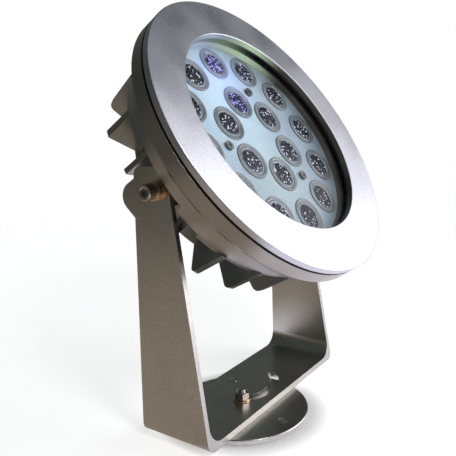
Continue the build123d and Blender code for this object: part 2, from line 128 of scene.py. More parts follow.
# Facets of the optics: how many per metre, and their depth in metres
FACET_SCALE = 1150.0
FACET_DEPTH = 0.00005


def new_material(name):
    """A material with its output and one Principled shader."""
    material = bpy.data.materials.new(name)
    material.use_nodes = True
    tree = material.node_tree
    tree.nodes.clear()
    output = tree.nodes.new("ShaderNodeOutputMaterial")
    shader = tree.nodes.new("ShaderNodeBsdfPrincipled")
    tree.links.new(shader.outputs["BSDF"], output.inputs["Surface"])
    return material, tree, shader


def vector_math(tree, operation, vector, other=None):
    """A vector node, with its second vector as a fixed value where it has one."""
    node = tree.nodes.new("ShaderNodeVectorMath")
    node.operation = operation
    tree.links.new(vector, node.inputs[0])
    if other is not None:
        node.inputs[1].default_value = other
    return node


def map_range(tree, value, source, target=(0.0, 1.0), smooth=False):
    """A value carried from one range to another."""
    node = tree.nodes.new("ShaderNodeMapRange")
    if smooth:
        node.interpolation_type = "SMOOTHSTEP"
    node.inputs["From Min"].default_value = source[0]
    node.inputs["From Max"].default_value = source[1]
    node.inputs["To Min"].default_value = target[0]
    node.inputs["To Max"].default_value = target[1]
    tree.links.new(value, node.inputs["Value"])
    return node.outputs["Result"]


def colour_ramp(tree, value, places, colours):
    """A value turned into a colour between two colours."""
    ramp = tree.nodes.new("ShaderNodeValToRGB")
    for element, place, colour in zip(ramp.color_ramp.elements, places, colours):
        element.position = place
        element.color = (*colour, 1)
    tree.links.new(value, ramp.inputs["Fac"])
    return ramp.outputs["Color"]


def scaled(tree, colour, factor):
    """A fixed colour made stronger or weaker by a factor."""
    node = tree.nodes.new("ShaderNodeVectorMath")
    node.operation = "SCALE"
    node.inputs[0].default_value = colour
    tree.links.new(factor, node.inputs["Scale"])
    return node.outputs["Vector"]


def within(tree, radius, limit):
    """One inside a limit on distance from the head's axis, and zero outside it."""
    node = tree.nodes.new("ShaderNodeMath")
    node.operation = "LESS_THAN"
    node.inputs[1].default_value = limit * MM
    tree.links.new(radius, node.inputs[0])
    return node.outputs["Value"]


def head_coordinates(tree):
    """Object coordinates turned into the head's own axes, in metres."""
    coordinates = tree.nodes.new("ShaderNodeTexCoord")
    shift = vector_math(tree, "SUBTRACT", coordinates.outputs["Object"], FACE)
    parts = tree.nodes.new("ShaderNodeCombineXYZ")
    for axis, direction in (("X", SIDE), ("Y", UP), ("Z", OUT)):
        along = vector_math(tree, "DOT_PRODUCT", shift.outputs["Vector"], direction)
        tree.links.new(along.outputs["Value"], parts.inputs[axis])
    return parts.outputs["Vector"]


def turned_coordinates(tree):
    """Distance from the head's axis and depth as one vector, and that distance alone."""
    place = head_coordinates(tree)
    split = tree.nodes.new("ShaderNodeSeparateXYZ")
    tree.links.new(place, split.inputs["Vector"])
    flat = tree.nodes.new("ShaderNodeCombineXYZ")
    tree.links.new(split.outputs["X"], flat.inputs["X"])
    tree.links.new(split.outputs["Y"], flat.inputs["Y"])
    radius = vector_math(tree, "LENGTH", flat.outputs["Vector"])
    pair = tree.nodes.new("ShaderNodeCombineXYZ")
    tree.links.new(radius.outputs["Value"], pair.inputs["X"])
    tree.links.new(split.outputs["Z"], pair.inputs["Y"])
    return pair.outputs["Vector"], radius.outputs["Value"]


def object_noise(tree, scale, detail=4.0, stretch=(1, 1, 1), vector=None):
    """Noise fixed to the object, stretched along its axes."""
    if vector is None:
        vector = tree.nodes.new("ShaderNodeTexCoord").outputs["Object"]
    mapping = tree.nodes.new("ShaderNodeMapping")
    mapping.inputs["Scale"].default_value = stretch
    noise = tree.nodes.new("ShaderNodeTexNoise")
    noise.inputs["Scale"].default_value = scale
    noise.inputs["Detail"].default_value = detail
    tree.links.new(vector, mapping.inputs["Vector"])
    tree.links.new(mapping.outputs["Vector"], noise.inputs["Vector"])
    return noise


def spread(tree, noise, low, high):
    """The noise as a value between two limits."""
    return map_range(tree, noise.outputs["Fac"], NOISE_RANGE, (low, high))


def tint(tree, noise, dark, light):
    """The noise as a colour between two colours."""
    return colour_ramp(tree, noise.outputs["Fac"], NOISE_RANGE, (dark, light))


def add_bump(tree, shader, height, depth, edge=0.0):
    """Fine relief, depth in metres, over edges rounded by a small radius."""
    bump = tree.nodes.new("ShaderNodeBump")
    bump.inputs["Strength"].default_value = 1.0
    bump.inputs["Distance"].default_value = depth
    tree.links.new(height, bump.inputs["Height"])
    if edge:
        bevel = tree.nodes.new("ShaderNodeBevel")
        bevel.samples = 4
        bevel.inputs["Radius"].default_value = edge
        tree.links.new(bevel.outputs["Normal"], bump.inputs["Normal"])
    tree.links.new(bump.outputs["Normal"], shader.inputs["Normal"])


def mottled(tree, colour, wear, patch, fine, vector=None):
    """A colour with slow patches and a fine speckle."""
    slow = object_noise(tree, patch, 5.0)
    dark = tuple(c * (1 - wear) for c in colour)
    light = tuple(min(1, c * (1 + wear)) for c in colour)
    base = tint(tree, slow, dark, light)
    speck = object_noise(tree, fine, 2.0, vector=vector)
    shade = tint(tree, speck, (0.80, 0.80, 0.80), (1.0, 1.0, 1.0))
    both = tree.nodes.new("ShaderNodeMix")
    both.data_type = "RGBA"
    both.blend_type = "MULTIPLY"
    both.inputs["Factor"].default_value = 1.0
    tree.links.new(base, both.inputs["A"])
    tree.links.new(shade, both.inputs["B"])
    return both.outputs["Result"], slow


def metal(name, colour, rough, wear=0.12, grain=900.0, relief=0.00001, edge=0.0003, turned=False):
    """Bare metal: slow changes in tone and polish, a fine grain, and turning marks where it was turned."""
    material, tree, shader = new_material(name)
    shader.inputs["Metallic"].default_value = 1.0
    vector = turned_coordinates(tree)[0] if turned else None
    base, slow = mottled(tree, colour, wear, METAL_PATCH, grain, vector)
    tree.links.new(base, shader.inputs["Base Color"])
    tree.links.new(spread(tree, slow, rough * 0.85, rough * 1.15), shader.inputs["Roughness"])
    add_bump(tree, shader, object_noise(tree, grain, 2.0, vector=vector).outputs["Fac"], relief, edge)
    return material, tree, shader


def plain(name, colour, rough, wear=0.06, grain=600.0, relief=0.00002, coat=0.0, edge=0.0):
    """Plastic, rubber or paint with slight mottling and grain."""
    material, tree, shader = new_material(name)
    base, slow = mottled(tree, colour, wear, PLAIN_PATCH, grain)
    tree.links.new(base, shader.inputs["Base Color"])
    tree.links.new(spread(tree, slow, rough * 0.9, min(1, rough * 1.1)), shader.inputs["Roughness"])
    shader.inputs["Coat Weight"].default_value = coat
    add_bump(tree, shader, object_noise(tree, grain, 2.0).outputs["Fac"], relief, edge)
    return material, tree, shader


def clear(name, colour, rough, ior, see_through):
    """Clear glass or acrylic that lets light through to what is behind it."""
    material, tree, shader = new_material(name)
    shader.inputs["Transmission Weight"].default_value = 1.0
    shader.inputs["IOR"].default_value = ior
    faint = object_noise(tree, 40.0, 3.0)
    tree.links.new(tint(tree, faint, tuple(c * 0.97 for c in colour), colour), shader.inputs["Base Color"])
    tree.links.new(spread(tree, faint, rough * 0.8, rough * 1.2), shader.inputs["Roughness"])
    path = tree.nodes.new("ShaderNodeLightPath")
    through = tree.nodes.new("ShaderNodeBsdfTransparent")
    through.inputs["Color"].default_value = (see_through, see_through, see_through, 1)
    mix = tree.nodes.new("ShaderNodeMixShader")
    output = tree.nodes["Material Output"]
    tree.links.new(path.outputs["Is Shadow Ray"], mix.inputs["Fac"])
    tree.links.new(shader.outputs["BSDF"], mix.inputs[1])
    tree.links.new(through.outputs["BSDF"], mix.inputs[2])
    tree.links.new(mix.outputs["Shader"], output.inputs["Surface"])
    return material


def glow_spot(tree, angle, radius, reach, colour, under=None):
    """Light spilled round one place on the head's face: angle in degrees, lengths in millimetres."""
    place = head_coordinates(tree)
    flat = vector_math(tree, "MULTIPLY", place, (1, 1, 0))
    centre = (radius * MM * cos(radians(angle)), radius * MM * sin(radians(angle)), 0)
    away = vector_math(tree, "DISTANCE", flat.outputs["Vector"], centre)
    factor = map_range(tree, away.outputs["Value"], (reach * MM, 0.0), smooth=True)
    if under:
        product = tree.nodes.new("ShaderNodeMath")
        product.operation = "MULTIPLY"
        tree.links.new(factor, product.inputs[0])
        tree.links.new(within(tree, turned_coordinates(tree)[1], under), product.inputs[1])
        factor = product.outputs["Value"]
    return scaled(tree, colour, factor)


def add_glow(tree, shader, spots):
    """Gives a material faint light from several spots."""
    total = None
    for spot in spots:
        light = glow_spot(tree, *spot)
        if total is not None:
            both = tree.nodes.new("ShaderNodeVectorMath")
            both.operation = "ADD"
            tree.links.new(total, both.inputs[0])
            tree.links.new(light, both.inputs[1])
            light = both.outputs["Vector"]
        total = light
    tree.links.new(total, shader.inputs["Emission Color"])
    shader.inputs["Emission Strength"].default_value = 1.0


def add_bore_lines_and_painted_shade(tree, shader, limit, colour):
    """Turning lines on the wall inside a limit on distance from the head's axis, over a bronze tone painted
    in as the wall's shade and warm reflection.
    """
    pair, radius = turned_coordinates(tree)
    split = tree.nodes.new("ShaderNodeSeparateXYZ")
    tree.links.new(pair, split.inputs["Vector"])
    lines = tree.nodes.new("ShaderNodeMath")
    lines.operation = "PINGPONG"
    lines.inputs[1].default_value = LINE_SPACING
    tree.links.new(split.outputs["Y"], lines.inputs[0])
    band = map_range(tree, lines.outputs["Value"], (0.0, LINE_SPACING), (LINE_SHADE, 1.0))
    mix = tree.nodes.new("ShaderNodeMix")
    mix.data_type = "RGBA"
    tree.links.new(within(tree, radius, limit), mix.inputs["Factor"])
    tree.links.new(shader.inputs["Base Color"].links[0].from_socket, mix.inputs["A"])
    tree.links.new(scaled(tree, colour, band), mix.inputs["B"])
    tree.links.new(mix.outputs["Result"], shader.inputs["Base Color"])


def optic(name, colour, rough, glow, share):
    """Pebbled optic, coloured dark as painted shade, with a share of small facets that glow as painted
    glints.
    """
    material, tree, shader = new_material(name)
    cells = tree.nodes.new("ShaderNodeTexVoronoi")
    cells.inputs["Scale"].default_value = FACET_SCALE
    coordinates = tree.nodes.new("ShaderNodeTexCoord")
    tree.links.new(coordinates.outputs["Object"], cells.inputs["Vector"])
    dark = tuple(c * 0.4 for c in colour)
    base = colour_ramp(tree, cells.outputs["Color"], (0.10, 0.90), (dark, colour))
    tree.links.new(base, shader.inputs["Base Color"])
    shader.inputs["Specular IOR Level"].default_value = 0.1
    faint = object_noise(tree, 300.0, 2.0)
    tree.links.new(spread(tree, faint, rough * 0.7, rough * 1.3), shader.inputs["Roughness"])
    # Painted glints: a share of the facets glow brightly, and the rest glow faintly
    faded = tuple(c * share * share * 0.3 for c in glow)
    bright_from = 1.0 - share
    sparkle = colour_ramp(tree, cells.outputs["Color"], (bright_from - 0.02, bright_from), (faded, glow))
    tree.links.new(sparkle, shader.inputs["Emission Color"])
    shader.inputs["Emission Strength"].default_value = 1.0
    add_bump(tree, shader, cells.outputs["Distance"], FACET_DEPTH)
    return material


PALE_GREEN = (0.34, 0.47, 0.32)
PALE_BLUE = (0.24, 0.30, 0.42)

# Inside these distances from the head's axis, in millimetres, lie the drum's inner wall and the bezel's bore
WALL_LIMIT = 67.5
BORE_LIMIT = 65.6

CASTING, casting_tree, casting_shader = metal(
    "machined drum", (0.42, 0.39, 0.36), 0.30, 0.10, 1400.0, 0.000012, edge=0.0004, turned=True
)
add_glow(
    casting_tree, casting_shader,
    [(64.0, 66.0, 36.0, PALE_GREEN, WALL_LIMIT), (98.0, 66.0, 34.0, PALE_BLUE, WALL_LIMIT)],
)
# The drum's wall inside the window: turning lines over a bronze painted shade and warm painted reflection
add_bore_lines_and_painted_shade(casting_tree, casting_shader, WALL_LIMIT, (0.40, 0.32, 0.24))
PLATE, plate_tree, plate_shader = plain("moulded cover plate", (0.24, 0.30, 0.355), 0.42)
add_glow(
    plate_tree, plate_shader,
    [
        (93.4, 42.0, 30.0, (0.03, 0.05, 0.26)), (-95.0, 26.0, 40.0, (0.08, 0.115, 0.075)),
        (120.0, 30.0, 64.0, (0.26, 0.35, 0.42)),
    ],
)

BEZEL, bezel_tree, bezel_shader = metal("blasted bezel", (0.64, 0.65, 0.69), 0.30, 0.05, 1000.0, 0.00002)
# The bezel's bore: turning lines over a dark bronze painted shade and warm painted reflection
add_bore_lines_and_painted_shade(bezel_tree, bezel_shader, BORE_LIMIT, (0.27, 0.22, 0.17))
add_glow(
    bezel_tree, bezel_shader,
    [(64.0, 66.0, 30.0, PALE_GREEN, BORE_LIMIT), (96.0, 66.0, 34.0, PALE_BLUE, BORE_LIMIT)],
)
GASKET, gasket_tree, gasket_shader = plain("silicone gasket", (0.018, 0.015, 0.014), 0.55)
add_glow(gasket_tree, gasket_shader, [(112.0, 66.0, 34.0, PALE_BLUE), (82.0, 66.0, 32.0, (0.12, 0.17, 0.12))])
HOLDER, holder_tree, holder_shader = plain("lens holder", (0.115, 0.13, 0.135), 0.32, coat=0.3)
add_glow(holder_tree, holder_shader, [(92.0, 44.0, 36.0, (0.09, 0.12, 0.34))])
SCREW_DARK = metal("plated screws", (0.16, 0.16, 0.15), 0.35)[0]

MATERIALS = {
    "stainless": metal("blasted stainless", (0.55, 0.53, 0.49), 0.30, 0.08)[0],
    "bezel": BEZEL,
    "fasteners": metal("bright screws", (0.55, 0.50, 0.44), 0.20, 0.10, 1500.0, edge=0.00015)[0],
    "washers": metal("washers", (0.74, 0.56, 0.38), 0.22, 0.12, 1500.0, edge=0.00015)[0],
    "brass_collar": metal("brass collar", (0.60, 0.34, 0.15), 0.25, 0.12, 1500.0)[0],
    "casting": CASTING,
    "sink": metal("anodised sink", (0.34, 0.34, 0.32), 0.36, 0.12, edge=0.0005)[0],
    "cover": metal("anodised cover", (0.34, 0.34, 0.33), 0.36, 0.10, edge=0.0004)[0],
    "gland": metal("plated brass", (0.56, 0.52, 0.46), 0.22, 0.08, 1500.0)[0],
    "gasket": GASKET,
    "pad": plain("thermal pad", (0.42, 0.43, 0.45), 0.7)[0],
    "plate": PLATE,
    "holder": HOLDER,
    "pcb_white": plain("white board", (0.75, 0.77, 0.78), 0.4)[0],
    "pcb_green": plain("green board", (0.02, 0.12, 0.05), 0.4, coat=0.4)[0],
    "emitter": plain("phosphor", (0.75, 0.60, 0.18), 0.45)[0],
    "electronics": plain("moulded parts", (0.03, 0.03, 0.035), 0.45)[0],
    "nylon": plain("nylon", (0.68, 0.66, 0.60), 0.5)[0],
    "wire": plain("wire insulation", (0.40, 0.03, 0.02), 0.45)[0],
    "glass": clear("window glass", (0.96, 0.99, 1.0), 0.01, 1.07, 0.95),
    "lens": plain("optic rim", (0.20, 0.225, 0.24), 0.15, coat=0.6)[0],
}
# The optics' dark colours are painted shade, and their glow colours painted glints, bluer on the optics that
# shine blue
OPTIC_DARK = optic("optic facets", (0.014, 0.014, 0.018), 0.12, (0.80, 0.82, 1.0), 0.17)
OPTIC_DIM = optic("optic facets dim blue", (0.014, 0.014, 0.03), 0.12, (0.62, 0.64, 1.0), 0.22)
OPTIC_BLUE = optic("optic facets blue", (0.014, 0.014, 0.05), 0.12, (0.48, 0.46, 1.0), 0.27)
SLOT_OF = {part["node"]: part["material_slot"] for part in RECORD["subparts"]}


def dress(obj, slot_name):
    """Gives an object the material of a record slot."""
    obj.data.materials.clear()
    obj.data.materials.append(MATERIALS[slot_name])


for node_name, node_object in NODES.items():
    dress(node_object, SLOT_OF[node_name])
NODES["plate_screws"].data.materials[0] = SCREW_DARK


# ------------------------------------------------------------ mesh helpers

def skin(rings, count, closed=False):
    """Surface through rings about the z axis; a ring is a radius, or a function of angle, and a height."""
    vertices = []
    spans = []
    for radius, height in rings:
        start = len(vertices)
        if radius == 0:
            vertices.append(Vector((0, 0, height)))
            spans.append((start, 1))
            continue
        for k in range(count):
            a = tau * k / count
            r = radius(a) if callable(radius) else radius
            z = height(a) if callable(height) else height
            vertices.append(Vector((r * cos(a), r * sin(a), z)))
        spans.append((start, count))
    pairs = list(zip(spans, spans[1:]))
    if closed:
        pairs.append((spans[-1], spans[0]))
    faces = []
    for (a, a_count), (b, b_count) in pairs:
        for k in range(count):
            after = (k + 1) % count
            if a_count == 1:
                faces.append((a, b + after, b + k))
            elif b_count == 1:
                faces.append((a + k, a + after, b))
            else:
                faces.append((a + k, a + after, b + after, b + k))
    return vertices, faces


class Pile:
    """Gathers copies of shapes into one mesh."""

    def __init__(self):
        self.vertices = []
        self.faces = []
        self.slots = []

    def add(self, shape, axes, slot_index=0):
        start = len(self.vertices)
        vertices, faces = shape
        self.vertices += [axes @ (v * MM) for v in vertices]
        self.faces += [tuple(start + i for i in face) for face in faces]
        self.slots += [slot_index] * len(faces)

    def piece(self, name, body, slot_name, stands_for, materials=None, sharp=35):
        """Makes the object, on its body and in place of the CAD nodes it stands for."""
        mesh = bpy.data.meshes.new(name)
        mesh.from_pydata(self.vertices, [], self.faces)
        for material in materials or [MATERIALS[slot_name]]:
            mesh.materials.append(material)
        mesh.polygons.foreach_set("material_index", self.slots)
        mesh.update()
        obj = bpy.data.objects.new(name, mesh)
        bpy.context.scene.collection.objects.link(obj)
        recalc_outward(mesh)
        mesh.shade_smooth()
        mesh.set_sharp_from_angle(angle=radians(sharp))
        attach(obj, body)
        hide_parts(*stands_for)


def recalc_outward(mesh):
    """Turns every face outward."""
    shell = bmesh.new()
    shell.from_mesh(mesh)
    bmesh.ops.recalc_face_normals(shell, faces=shell.faces)
    shell.to_mesh(mesh)
    shell.free()


def hexagon(across):
    """Radius of a hexagon by angle, from its width across flats."""
    return lambda a: across / 2 / cos((a + pi / 6) % (pi / 3) - pi / 6)


def knurled(radius, teeth, depth):
    """Radius of a finely ridged cylinder by angle."""
    return lambda a: radius - depth * (0.5 + 0.5 * cos(teeth * a))


def thread(radius, pitch, bottom, top, depth):
    """Rings of a screw thread between two heights."""
    steps = 6
    count = int((top - bottom) / pitch * steps)

    def crest(height):
        def radius_at(a):
            phase = (height / pitch - a / tau) % 1.0
            fade = min(1.0, (height - bottom) / pitch, (top - height) / pitch)
            return radius - depth * max(0.0, fade) * abs(2 * phase - 1)
        return radius_at

    heights = [bottom + (top - bottom) * k / count for k in range(count + 1)]
    return [(crest(height), height) for height in heights]


def washer_shape(inner, outer, thick, soft=0.2):
    """Flat ring with rounded rims, from height 0 up."""
    return skin(
        [
            (inner, soft), (inner + soft, 0), (outer - soft, 0),
            (outer - soft * 0.3, soft * 0.3), (outer, soft),
            (outer, thick - soft), (outer - soft * 0.3, thick - soft * 0.3), (outer - soft, thick),
            (inner + soft, thick), (inner, thick - soft),
        ],
        64,
        closed=True,
    )


def split_ring_shape(inner, outer, thick, gap=14.0, lead=0.25):
    """Spring lock washer: a cut ring whose two ends part slightly along its axis."""
    soft = 0.15
    wire = thick - lead
    outline = [
        (inner, soft), (inner + soft, 0), (outer - soft, 0), (outer, soft),
        (outer, wire - soft), (outer - soft, wire), (inner + soft, wire), (inner, wire - soft),
    ]
    steps = 60
    vertices = []
    for k in range(steps + 1):
        share = k / steps
        a = radians(gap / 2 + (360 - gap) * share)
        vertices += [Vector((r * cos(a), r * sin(a), z + lead * share)) for r, z in outline]
    count = len(outline)
    faces = [tuple(range(count)), tuple(steps * count + i for i in reversed(range(count)))]
    for k in range(steps):
        for i in range(count):
            j = (i + 1) % count
            faces.append((k * count + i, k * count + j, (k + 1) * count + j, (k + 1) * count + i))
    return vertices, faces


def cap_screw_shape(head_r, head_h, across, sunk, shank_r, shank):
    """Socket cap screw: its head stands on height 0 with the shank below."""
    side = knurled(head_r, 30, 0.12)
    return skin(
        [
            (0, -shank), (shank_r - 0.4, -shank), (shank_r, -shank + 0.4), (shank_r, 0),
            (head_r - 0.3, 0), (side, 0.35), (side, head_h - 0.75), (head_r - 0.05, head_h - 0.6),
            (head_r - 0.2, head_h - 0.25), (head_r - 0.55, head_h), (across / 2 + 0.75, head_h),
            (hexagon(across + 0.3), head_h - 0.2), (hexagon(across), head_h - 0.4),
            (hexagon(across), head_h - sunk), (0, head_h - sunk - 0.4),
        ],
        180,
    )


def hex_nut_shape(across, height, bore):
    """Chamfered hexagon nut with a threaded bore, from height 0 up."""
    flat = hexagon(across)
    slope = 0.577
    low = (flat, lambda a: 0.1 + (flat(a) - across / 2) * slope)
    high = (flat, lambda a: height - 0.1 - (flat(a) - across / 2) * slope)
    inside = thread(bore, 0.8, 0.4, height - 0.4, 0.35)
    return skin(
        [(across / 2 - 0.3, 0), low, high, (across / 2 - 0.3, height), (bore + 0.45, height)]
        + list(reversed(inside))
        + [(bore + 0.45, 0)],
        96,
        closed=True,
    )


def stud_shape(radius, bottom, top, thread_from, sunk_r, sunk_t):
    """Countersunk stud with a thread on its upper part."""
    return skin(
        [(0, bottom), (sunk_r, bottom), (radius, bottom + sunk_t), (radius, thread_from)]
        + thread(radius, 0.8, thread_from + 0.1, top - 0.7, 0.4)
        + [(radius - 0.45, top - 0.25), (radius - 0.8, top), (0, top)],
        64,
    )


# -------------------------------------------------------------- tilt joint

# Radii of the tilt bolts' shank and of the washers' bore, in millimetres
BOLT_R = 2.5
WASHER_BORE = 2.65


def tilt_hardware():
    """Socket screws, washers, split washers and brass collars on both sides of the head."""
    screws, washers, springs, collars = Pile(), Pile(), Pile(), Pile()
    for side in (-1, 1):
        axes = axle_frame(side)

        def along(node):
            """Start and end along the bolt, and outer radius, of this side's solids."""
            found = [(low.z, high.z, (high.y - low.y) / 2) for low, high in solids(node, axes)]
            return sorted(spot for spot in found if spot[0] > 0)

        start, end, head_r = along("tilt_bolts")[0]
        stack = along("tilt_spring_washers")
        seat = stack[-1][1]
        turn = Matrix.Rotation(radians(20 + 40 * side), 4, "Z")
        base = axes @ Matrix.Translation((0, 0, seat * MM)) @ turn
        screw = cap_screw_shape(head_r, end - seat, across=4.0, sunk=2.6, shank_r=BOLT_R, shank=seat - start)
        screws.add(screw, base)
        for low, high, outer in along("tilt_washers"):
            place = axes @ Matrix.Translation((0, 0, low * MM))
            washers.add(washer_shape(WASHER_BORE, outer, high - low), place)
        for number, (low, high, outer) in enumerate(stack):
            cut = Matrix.Rotation(radians(100 + 75 * number), 4, "Z")
            place = axes @ Matrix.Translation((0, 0, low * MM)) @ cut
            springs.add(split_ring_shape(WASHER_BORE, outer, high - low), place)
        low, high, outer = along("tilt_collars")[0]
        length = high - low
        groove = length / 2
        collar = skin(
            [
                (2.6, 0.2), (2.8, 0), (outer - 0.3, 0), (outer, 0.3), (outer, groove - 0.35),
                (outer - 0.35, groove - 0.1), (outer - 0.35, groove + 0.1), (outer, groove + 0.35),
                (outer, length - 0.3), (outer - 0.3, length), (2.8, length), (2.6, length - 0.2),
            ],
            64,
            closed=True,
        )
        collars.add(collar, axes @ Matrix.Translation((0, 0, low * MM)))
    screws.piece("tilt_screws", "head", "fasteners", ["tilt_bolts"])
    washers.piece("tilt_flat_washers", "head", "washers", ["tilt_washers"])
    springs.piece("tilt_lock_washers", "head", "washers", ["tilt_spring_washers"])
    collars.piece("tilt_brass_collars", "head", "brass_collar", ["tilt_collars"])


# --------------------------------------------------------------- pan joint

def pan_hardware():
    """Threaded clamp stud and its chamfered nut on the foot."""
    low, high = solids("pan_stud", Matrix.Identity(4))[0]
    centre = (low + high) / 2
    spot = Matrix.Translation((centre.x * MM, centre.y * MM, 0))
    washer_low, washer_high = solids("pan_washer", Matrix.Identity(4))[0]
    nut_low, nut_high = solids("pan_nut", Matrix.Identity(4))[0]
    stud = Pile()
    stud.add(stud_shape(2.5, low.z, high.z, washer_low.z, (high.x - low.x) / 2, 2.46), spot)
    stud.piece("pan_threaded_stud", "base", "fasteners", ["pan_stud"])
    washer = Pile()
    washer_r = (washer_high.x - washer_low.x) / 2
    washer.add(
        washer_shape(2.6, washer_r, washer_high.z - washer_low.z),
        spot @ Matrix.Translation((0, 0, washer_low.z * MM)),
    )
    washer.piece("pan_flat_washer", "base", "washers", ["pan_washer"])
    nut = Pile()
    nut.add(
        hex_nut_shape(8.0, nut_high.z - nut_low.z, 2.55),
        spot @ Matrix.Translation((0, 0, nut_low.z * MM)) @ Matrix.Rotation(radians(12), 4, "Z"),
    )
    nut.piece("pan_hex_nut", "base", "fasteners", ["pan_nut"])


# ------------------------------------------------------------ lamp cluster

# Radii of an optic's pebbled face and of its holder's flange, in millimetres
FACETS_R = 7.3
FLANGE_R = 11.3

# The top optic and the ones nearest these places in the head's axes shine blue, the second more faintly
INNER_BLUE = (0.0, 25.0)
OUTER_BLUE = (23.8, 47.5)


def pebble(x, y):
    """Height of the optic's pebbled face, a close pattern of small domes."""
    k = tau / 1.9
    return 0.13 * (cos(k * x) + cos(k * (x / 2 + y * sqrt(3) / 2)) + cos(k * (y * sqrt(3) / 2 - x / 2)))


def facet_shape(radius, depth, crown):
    """Pebbled dome of the optic's centre."""
    rows, count = 16, 42
    rings = [(0, -depth + crown + pebble(0, 0))]
    for k in range(1, rows + 1):
        r = radius * k / rows
        crest = crown * (1 - (r / radius) ** 2)
        settle = min(1.0, (rows - k) / 2)
        rings.append((r, height_of(r, -depth + crest, settle)))
    return skin(rings, count)


def height_of(r, base, settle):
    """Height by angle on one ring of the pebbled dome."""
    return lambda a: base + settle * pebble(r * cos(a), r * sin(a))


def nearest(spots, target):
    """The spot closest to a place."""
    return min(spots, key=lambda p: (p[0] - target[0]) ** 2 + (p[1] - target[1]) ** 2)


def lamp_cluster():
    """Eighteen optics in their round holders."""
    optics, holders = Pile(), Pile()
    lenses = solids("lenses", HEAD)
    spots = [((low.x + high.x) / 2, (low.y + high.y) / 2) for low, high in lenses]
    lens_low, lens_high = lenses[0]
    front = -lens_high.z
    back = -lens_low.z
    outer = (lens_high.x - lens_low.x) / 2
    rim = skin(
        [
            (FACETS_R, -front - 0.25), (FACETS_R + 0.25, -front - 0.6), (FACETS_R + 0.6, -front - 0.1),
            (outer - 0.5, -front + 0.1), (outer - 0.1, -front - 0.1), (outer, -front - 0.4), (4.4, -back),
            (2.6, -back), (2.6, -back + 1.5), (0, -back + 1.6),
        ],
        64,
    )
    facets = facet_shape(FACETS_R, front + 0.25, 0.9)
    plate_front = -solids("cover_plate", HEAD)[0][1].z
    seat = -solids("led_board", HEAD)[0][1].z
    flange = skin(
        [
            (9.0, -seat), (9.0, -plate_front + 0.1), (9.25, -plate_front + 0.45), (9.6, -plate_front + 0.55),
            (10.3, -plate_front + 0.75), (10.9, -plate_front + 0.75), (FLANGE_R - 0.12, -plate_front + 0.6),
            (FLANGE_R, -plate_front + 0.35), (FLANGE_R, -plate_front), (10.4, -plate_front), (10.4, -seat),
        ],
        72,
        closed=True,
    )
    seat_ring = skin([(3.9, -seat), (3.9, -back), (9.2, -back), (9.2, -seat)], 48, closed=True)
    top = max(spots, key=lambda p: p[1])
    blue = {top: 3, nearest(spots, INNER_BLUE): 3, nearest(spots, OUTER_BLUE): 2}
    for spot in spots:
        place = HEAD @ Matrix.Translation((spot[0] * MM, spot[1] * MM, 0))
        optics.add(rim, place, 0)
        optics.add(facets, place, blue.get(spot, 1))
        holders.add(flange, place)
        holders.add(seat_ring, place)
    optics.piece(
        "lens_optics", "head", "lens", ["lenses"],
        materials=[MATERIALS["lens"], OPTIC_DARK, OPTIC_DIM, OPTIC_BLUE], sharp=50,
    )
    holders.piece("lens_cups", "head", "holder", ["lens_holders"])


# ------------------------------------------------------------- rear screws

def head_screws(node, name, head_h, across, sunk, shank_r):
    """Socket screws in place of one node's solids, with their heads facing back."""
    screws = Pile()
    for number, (low, high) in enumerate(solids(node, HEAD)):
        head_r = (high.x - low.x) / 2
        seat = low.z + head_h
        x, y = (low.x + high.x) / 2, (low.y + high.y) / 2
        place = HEAD @ Matrix.Translation((x * MM, y * MM, seat * MM)) @ Matrix.Rotation(pi, 4, "X")
        place = place @ Matrix.Rotation(radians(37 * number), 4, "Z")
        screws.add(cap_screw_shape(head_r, head_h, across, sunk, shank_r, high.z - seat), place)
    screws.piece(name, "head", "fasteners", [node])


tilt_hardware()
pan_hardware()
lamp_cluster()
head_screws("heat_sink_screws", "sink_socket_screws", head_h=4.0, across=3.0, sunk=2.0, shank_r=2.0)
head_screws("cover_screws", "cover_socket_screws", head_h=2.6, across=2.5, sunk=1.3, shank_r=1.5)


# ------------------------------------------------------------------- stage

def toward(azimuth, elevation):
    """Direction from its azimuth and height in degrees."""
    a, e = radians(azimuth), radians(elevation)
    return Vector((cos(a) * cos(e), sin(a) * cos(e), sin(e)))


# The room round the lamp: its own colour, and parts laid over one another in this order, each with its
# azimuth, height, full and faded width in degrees, and colour
ROOM_COLOUR = (0.115, 0.13, 0.15, 1)
ROOM = (
    (85, -5, 28, 48, (0.075, 0.085, 0.080)),
    (160, 50, 60, 85, (0.072, 0.084, 0.078)),
    (138, 4, 8, 22, (0.13, 0.12, 0.10)),
    (34, 26, 22, 45, (0.10, 0.115, 0.11)),
    (-49, 16, 25, 34, (3.0, 2.95, 3.1)),
)

# The floor, with distances in metres from the middle of the foot
FLOOR_HALF = 3.0
FLOOR_FADE = (0.12, 0.9)
SHADE_SPAN = (0.0385, 0.052)
SHADE_GLOW = (0.08, 0.71)
COVER_SPAN = (0.0375, 0.039)
COVER_GLOW = (0.12, 1.0)
LIT_AZIMUTH = -40
LIT_SPAN = (-0.045, -0.005)
FLOOR_DIM = (0.40, 0.345, 0.285)
FLOOR_LIT = (1.08, 1.06, 1.18)


